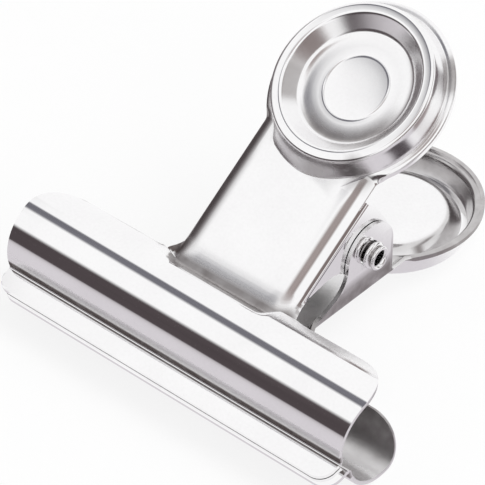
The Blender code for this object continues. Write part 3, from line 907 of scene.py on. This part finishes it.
nickelLook = {
    "bright": (0.955, 0.95, 0.955, 1), "dull": (0.91, 0.903, 0.91, 1), "shade": (0.14, 0.115, 0.111, 1),
    "roughLow": 0.03, "roughHigh": 0.085, "roughDrawn": 0.3, "roughDark": 0.2, "stops": (0.3, 0.62),
    "grainScale": 2600.0, "cloudScale": 160.0, "wobbleScale": 620.0, "bump": 0.1, "grainDepth": 0.000004,
    "tone": (0.6, 0.4), "rough": (0.7, 0.3), "height": (0.5, 0.5),  # shares of cloud and grain
    "mottle": (0.7, 0.6),  # the least of a painted shade mark, and how much the wobble adds
}


def polishedNickel():
    look = nickelLook
    material, finish = newMaterial("polished_nickel_plate")
    place = finish.node("ShaderNodeTexCoord", output="Object")
    drawn = finish.node("ShaderNodeAttribute", {"attribute_name": "drawn"}, output="Fac")
    # the crease attribute is painted shade and painted reflection: it mixes the shade colour into the plating
    # and roughens it
    crease = finish.node("ShaderNodeAttribute", {"attribute_name": "crease"}, output="Fac")
    cloud = noise(finish, place, look["cloudScale"], 3.0)
    grain = noise(finish, place, look["grainScale"])
    wobble = noise(finish, place, look["wobbleScale"])
    stops = list(zip(look["stops"], (look["dull"], look["bright"])))
    tone = cloud * look["tone"][0] + grain * look["tone"][1]
    clean = finish.node("ShaderNodeValToRGB", {"stops": stops}, {"Fac": tone})
    crease = crease * (look["mottle"][0] + look["mottle"][1] * wobble)
    spread = cloud * look["rough"][0] + grain * look["rough"][1]
    rough = look["roughLow"] + (look["roughHigh"] - look["roughLow"]) * spread
    rough = rough + drawn * look["roughDrawn"] + crease * look["roughDark"]
    height = cloud * look["height"][0] + grain * (look["height"][1] + drawn)
    bump = finish.node("ShaderNodeBump", sockets={
        "Strength": look["bump"], "Distance": look["grainDepth"], "Height": height})
    metal(finish, blend(finish, crease, clean, look["shade"]), rough, bump)
    return material


wireLook = {
    "light": (0.62, 0.61, 0.6, 1), "dark": (0.42, 0.41, 0.4, 1), "stops": (0.3, 0.7),
    "roughLow": 0.2, "roughHigh": 0.38, "streakScale": 700.0, "bump": 0.15, "streakDepth": 0.00002,
}


def springSteel():
    look = wireLook
    material, finish = newMaterial("drawn_spring_wire")
    place = finish.node("ShaderNodeTexCoord", output="Object")
    streak = noise(finish, place, look["streakScale"], 4.0)
    stops = list(zip(look["stops"], (look["dark"], look["light"])))
    colour = finish.node("ShaderNodeValToRGB", {"stops": stops}, {"Fac": streak})
    rough = look["roughLow"] + (look["roughHigh"] - look["roughLow"]) * streak
    bump = finish.node("ShaderNodeBump", sockets={
        "Strength": look["bump"], "Distance": look["streakDepth"], "Height": streak})
    metal(finish, colour, rough, bump)
    return material


nickel = polishedNickel()
steel = springSteel()


def dress(piece, material):
    piece.data.materials.clear()
    piece.data.materials.append(material)


for piece in (frontPlate, rearPlate, pivotPin):
    dress(piece, nickel)
dress(spring, steel)
for node in ("front_plate", "rear_plate", "pivot_pin"):
    dress(frame["nodes"][node], nickel)
dress(frame["nodes"]["torsion_spring"], steel)

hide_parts("front_plate")
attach(frontPlate, "front_body")
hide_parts("rear_plate")
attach(rearPlate, "rear_body")
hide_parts("pivot_pin")
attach(pivotPin, "rear_body")
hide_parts("torsion_spring")
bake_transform(spring)
print("pieces dressed and riding")


# studio: a pale floor, a white room, soft-edged cards that the polished metal mirrors, two soft lamps
# a standing card has two plan corners and its heights, a hanging one its middle, half sizes and turn
# soft is the share of a card over which it fades, at its first end, last end, foot and head
# the floor's tints are what the metal mirrors; each limit is where a tint starts and where it is full

studio = {
    "floorSize": 6.0, "floorLow": -0.00005,
    "standing": {
        "front_card": {
            "from": (-0.72, -0.60), "to": (0.36, -0.60), "low": -0.01, "high": 0.44,
            "soft": (0.02, 0.2, 0.01, 0.3), "colour": (0.077, 0.063, 0.067, 1)},
        "left_card": {
            "from": (-0.12, 0.05), "to": (-0.12, -0.085), "low": -0.001, "high": 0.16,
            "soft": (0.12, 0.3, 0.01, 0.62), "colour": (0.17, 0.15, 0.155, 1)},
        "far_left_card": {
            "from": (-0.72, -0.3), "to": (-0.72, -0.60), "low": -0.01, "high": 0.44,
            "soft": (0.4, 0.02, 0.01, 0.3), "colour": (0.077, 0.063, 0.067, 1)},
        "right_card": {
            "from": (0.55, -0.62), "to": (0.64, 0.3), "low": 0.07, "high": 0.52,
            "soft": (0.2, 0.22, 0.15, 0.3), "colour": (0.22, 0.178, 0.172, 1)},
        "back_right_card": {
            "from": (0.12, 0.09), "to": (0.03, 0.145), "low": -0.001, "high": 0.06,
            "soft": (0.3, 0.2, 0.01, 0.35), "colour": (0.17, 0.148, 0.155, 1)},
    },
    "hanging": {
        "slate_card": {
            "middle": (-0.417, -0.105, 0.72), "half": (0.225, 0.12), "turn": -31.0,
            "soft": (0.15, 0.2, 0.36, 0.2), "colour": (0.175, 0.172, 0.195, 1)},
        "brown_card": {
            "middle": (-0.06, -0.3, 0.72), "half": (0.2, 0.13), "turn": 0.0,
            "soft": (0.3, 0.3, 0.3, 0.3), "colour": (0.36, 0.31, 0.3, 1)},
        "far_card": {
            "middle": (0.626, 0.323, 0.72), "half": (0.5, 0.22), "turn": 137.0,
            "soft": (0.2, 0.2, 0.35, 0.6), "colour": (0.27, 0.245, 0.24, 1)},
    },
    "cloudScale": 9.0, "cloudRange": (0.8, 1.2),
    "paper": (0.95, 0.95, 0.95, 1), "paperShare": 0.2, "fibreScale": 300.0, "white": (1, 1, 1, 1),
    "roomLight": 0.6, "lampsAim": (0, 0, 0.01),
    "lamps": {
        "lamp_over": {"place": (0.25, 0.2, 0.6), "size": 0.5, "power": 2.2},
        "lamp_right": {"place": (0.6, -0.2, 0.35), "size": 0.4, "power": 0.8},
    },
    "tints": {
        "slantFrom": (0.042, 0.009), "slant": (0.835, 0.55), "lavenderSlant": (0.8, 0.6),
        "lavender": (0.69, 0.66, 0.69, 1), "lavenderEnd": (0.0, 0.03),
        "whiteLine": (0.0, 0.003), "whiteFrom": (0.01, 0.018),
        "brown": (0.33, 0.28, 0.28, 1), "brownLine": (0.001, 0.004), "brownFrom": (0.016, 0.024),
        "dark": (0.07, 0.058, 0.065, 1), "darkLeft": (0.026, 0.032), "darkRight": (0.042, 0.05),
        "darkNear": (-0.006, 0.0), "darkFar": (0.009, 0.013),
        "shade": (0.2, 0.17, 0.18, 1), "shadeRight": (-0.032, -0.022), "shadeNear": (0.0, 0.006),
        "shadeFar": (0.035, 0.05),
        "grey": (0.59, 0.56, 0.58, 1), "greyFar": (-0.11, -0.04),
        "charcoal": (0.09, 0.075, 0.08, 1), "charcoalFar": (-0.27, -0.07),
    },
}


def cardMaterial(name, card):
    material, finish = newMaterial(name)
    cloud = noise(finish, finish.node("ShaderNodeTexCoord", output="Object"), studio["cloudScale"])
    shades = [[value * share for value in card["colour"][:3]] + [1] for share in studio["cloudRange"]]
    shade = blend(finish, cloud, *shades)
    place = finish.node("ShaderNodeTexCoord", output="UV")
    axes = finish.node("ShaderNodeSeparateXYZ", sockets={"Vector": place})
    along = Term(finish, axes.socket.node.outputs["X"])
    rise = Term(finish, axes.socket.node.outputs["Y"])
    shown = 1.0
    for way, soft in zip((along, 1 - along, rise, 1 - rise), card["soft"]):
        shown = shown * softStep(finish, way, 0.0, soft)
    light = finish.node("ShaderNodeEmission", sockets={"Color": shade, "Strength": 1.0})
    clear = finish.node("ShaderNodeBsdfTransparent")
    surface = finish.node("ShaderNodeMixShader", sockets={"Fac": shown, 1: clear, 2: light})
    finish.node("ShaderNodeOutputMaterial", sockets={"Surface": surface})
    return material


def addCard(name, corners, card):
    deselectAll()
    bpy.ops.mesh.primitive_plane_add(size=1)
    piece = bpy.context.object
    piece.name = name
    for vert, corner in zip(piece.data.vertices, (corners[0], corners[1], corners[3], corners[2])):
        vert.co = corner
    piece.data.materials.append(cardMaterial(name + "_cloth", card))
    piece.visible_camera = False
    piece.visible_diffuse = False
    piece.visible_shadow = False
    piece.visible_transmission = False


for name, card in studio["standing"].items():
    (x0, y0), (x1, y1) = card["from"], card["to"]
    low, high = card["low"], card["high"]
    addCard(name, [(x0, y0, low), (x1, y1, low), (x1, y1, high), (x0, y0, high)], card)
for name, card in studio["hanging"].items():
    turn = Matrix.Rotation(math.radians(card["turn"]), 3, "Z")
    along, across = turn @ Vector((card["half"][0], 0, 0)), turn @ Vector((0, card["half"][1], 0))
    first, last = Vector(card["middle"]) - along, Vector(card["middle"]) + along
    addCard(name, [first - across, last - across, last + across, first + across], card)


def floorMaterial():
    tints, white = studio["tints"], studio["white"]
    material, finish = newMaterial("studio_floor_paper")
    place = finish.node("ShaderNodeTexCoord", output="Object")
    axes = finish.node("ShaderNodeSeparateXYZ", sockets={"Vector": place})
    path = finish.node("ShaderNodeLightPath")
    seen = Term(finish, path.socket.node.outputs["Is Camera Ray"])
    x = Term(finish, axes.socket.node.outputs["X"])
    y = Term(finish, axes.socket.node.outputs["Y"])

    def after(value, name):
        return softStep(finish, value, *tints[name])

    def before(value, name):
        return 1 - after(value, name)

    (fromX, fromY), (shareX, shareY) = tints["slantFrom"], tints["slant"]
    rightOf = (x - fromX) * shareX - (y - fromY) * shareY  # past a slanting line to the right of the clip
    behind = y * tints["lavenderSlant"][0] - x * tints["lavenderSlant"][1]
    tint = blend(finish, after(behind, "lavenderEnd"), tints["lavender"], white)
    tint = blend(finish, before(rightOf, "whiteLine") * after(y, "whiteFrom"), tint, white)
    tint = blend(finish, after(rightOf, "brownLine") * after(y, "brownFrom"), tint, tints["brown"])
    patch = after(x, "darkLeft") * before(x, "darkRight") * after(y, "darkNear") * before(y, "darkFar")
    tint = blend(finish, patch, tint, tints["dark"])
    besideLeft = before(x, "shadeRight") * after(y, "shadeNear") * before(y, "shadeFar")
    tint = blend(finish, besideLeft, tint, tints["shade"])
    tint = blend(finish, before(y, "greyFar"), tint, tints["grey"])
    tint = blend(finish, before(y, "charcoalFar"), tint, tints["charcoal"])
    fibre = noise(finish, place, studio["fibreScale"])
    paper = finish.node("ShaderNodeBsdfDiffuse", sockets={"Color": studio["paper"], "Roughness": fibre})
    glow = finish.node("ShaderNodeEmission", sockets={"Color": white, "Strength": 1.0})
    pale = finish.node("ShaderNodeMixShader", sockets={"Fac": studio["paperShare"], 1: glow, 2: paper})
    mirrored = finish.node("ShaderNodeEmission", sockets={"Color": tint, "Strength": 1.0})
    surface = finish.node("ShaderNodeMixShader", sockets={"Fac": seen, 1: mirrored, 2: pale})
    finish.node("ShaderNodeOutputMaterial", sockets={"Surface": surface})
    return material


deselectAll()
bpy.ops.mesh.primitive_plane_add(size=studio["floorSize"], location=(0, 0, studio["floorLow"]))
floor = bpy.context.object
floor.name = "studio_floor"
floor.data.materials.append(floorMaterial())


def whiteRoom():
    world = bpy.data.worlds.new("white_room")
    world.use_nodes = True
    world.node_tree.nodes.clear()
    room = Finish(world.node_tree)
    path = room.node("ShaderNodeLightPath").socket.node.outputs
    mirrored = Term(room, path["Is Camera Ray"]) + Term(room, path["Is Glossy Ray"])
    mirrored = mirrored + Term(room, path["Is Transmission Ray"])
    colour, strength = studio["white"], studio["roomLight"]
    lit = room.node("ShaderNodeBackground", sockets={"Color": colour, "Strength": strength})
    white = room.node("ShaderNodeBackground", sockets={"Color": colour, "Strength": 1.0})
    surface = room.node("ShaderNodeMixShader", sockets={"Fac": mirrored, 1: lit, 2: white})
    room.node("ShaderNodeOutputWorld", sockets={"Surface": surface})
    bpy.context.scene.world = world


whiteRoom()


for name, lamp in studio["lamps"].items():
    glow = bpy.data.lights.new(name, "AREA")
    glow.size = lamp["size"]
    glow.energy = lamp["power"]
    item = bpy.data.objects.new(name, glow)
    bpy.context.scene.collection.objects.link(item)
    item.location = lamp["place"]
    aim = Vector(studio["lampsAim"]) - Vector(lamp["place"])
    item.rotation_euler = aim.to_track_quat("-Z", "Y").to_euler()
    item.visible_glossy = False

photoView = {
    "place": (0.18033, -0.200554, 0.255219), "turn": (47.4773, 2.3899, 41.3257),
    "lens": 234.646, "sensor": 36, "clip": 0.01,
}
lensData = bpy.data.cameras.new("photo_camera")
lensData.lens = photoView["lens"]
lensData.sensor_width = photoView["sensor"]
lensData.clip_start = photoView["clip"]
camera = bpy.data.objects.new("photo_camera", lensData)
bpy.context.scene.collection.objects.link(camera)
camera.location = photoView["place"]
camera.rotation_euler = [math.radians(angle) for angle in photoView["turn"]]
bpy.context.scene.camera = camera
bpy.context.scene.view_settings.view_transform = "Standard"
print("studio ready")
